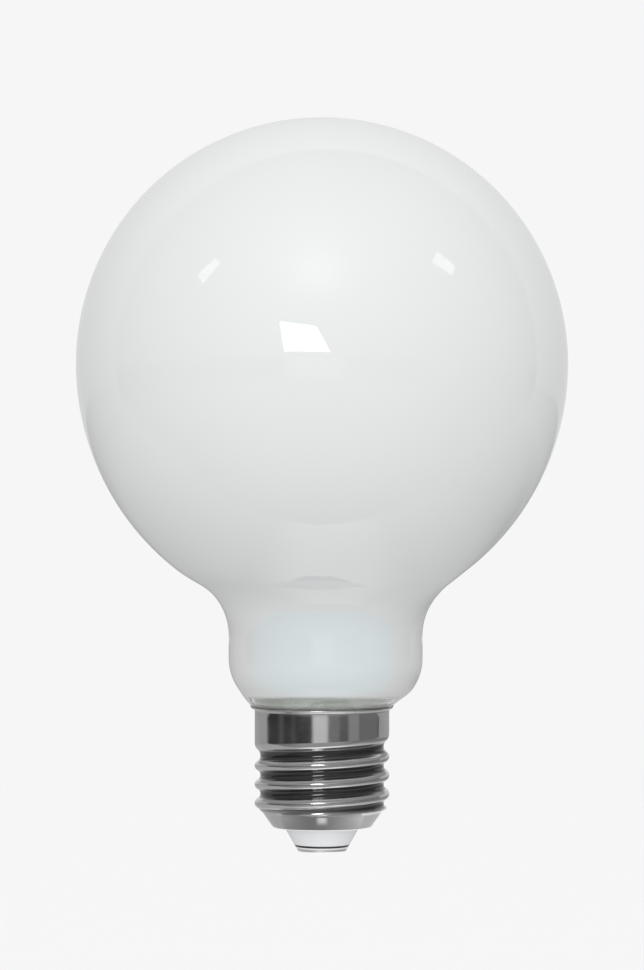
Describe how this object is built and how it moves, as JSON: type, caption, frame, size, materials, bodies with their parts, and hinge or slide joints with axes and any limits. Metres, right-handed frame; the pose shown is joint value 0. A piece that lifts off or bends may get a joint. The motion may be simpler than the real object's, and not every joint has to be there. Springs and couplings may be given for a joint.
{
  "type": "globe bulb",
  "caption": "Opal white globe light bulb with a short neck and a nickel-plated E27 screw cap.",
  "frame": {"origin": "on the lamp's axis at the lowest face of the centre contact, which is where the cap meets its holder's spring", "axes": "+Z along the lamp's axis from the cap to the globe, the cap down; the lamp is round, so X and Y are free, and -Y faces the picture's camera"},
  "size_m": [0.0952, 0.0952, 0.1419],
  "materials": {
    "opal_glass": "glossy clear glass over a smooth white inner coating",
    "cement": "grainy grey-green lamp cement",
    "nickel_shell": "bright nickel plating on a rolled sheet shell",
    "white_insulator": "moulded white, slightly glossy",
    "contact_metal": "nickel-plated contact, soft sheen",
    "board": "white solder resist on glass-fibre board",
    "capacitor_can": "bare drawn can",
    "black_moulding": "fine matte moulding",
    "resistor_coating": "dull baked coating",
    "copper_wire": "bare drawn wire",
    "nickel_wire": "bare drawn wire"
  },
  "bodies": {
    "root": {"glass_globe": "opal_glass", "seal_cement": "cement", "capping_cement": "cement", "screw_shell": "nickel_shell", "cap_insulator": "white_insulator", "centre_contact": "contact_metal", "driver_board": "board", "smoothing_capacitor": "capacitor_can", "bridge_rectifier": "black_moulding", "driver_chip": "black_moulding", "fuse_resistor": "resistor_coating", "live_wire": "copper_wire", "neutral_wire": "copper_wire", "stem_lead_front": "nickel_wire", "stem_lead_back": "nickel_wire"}
  },
  "joints": []
}
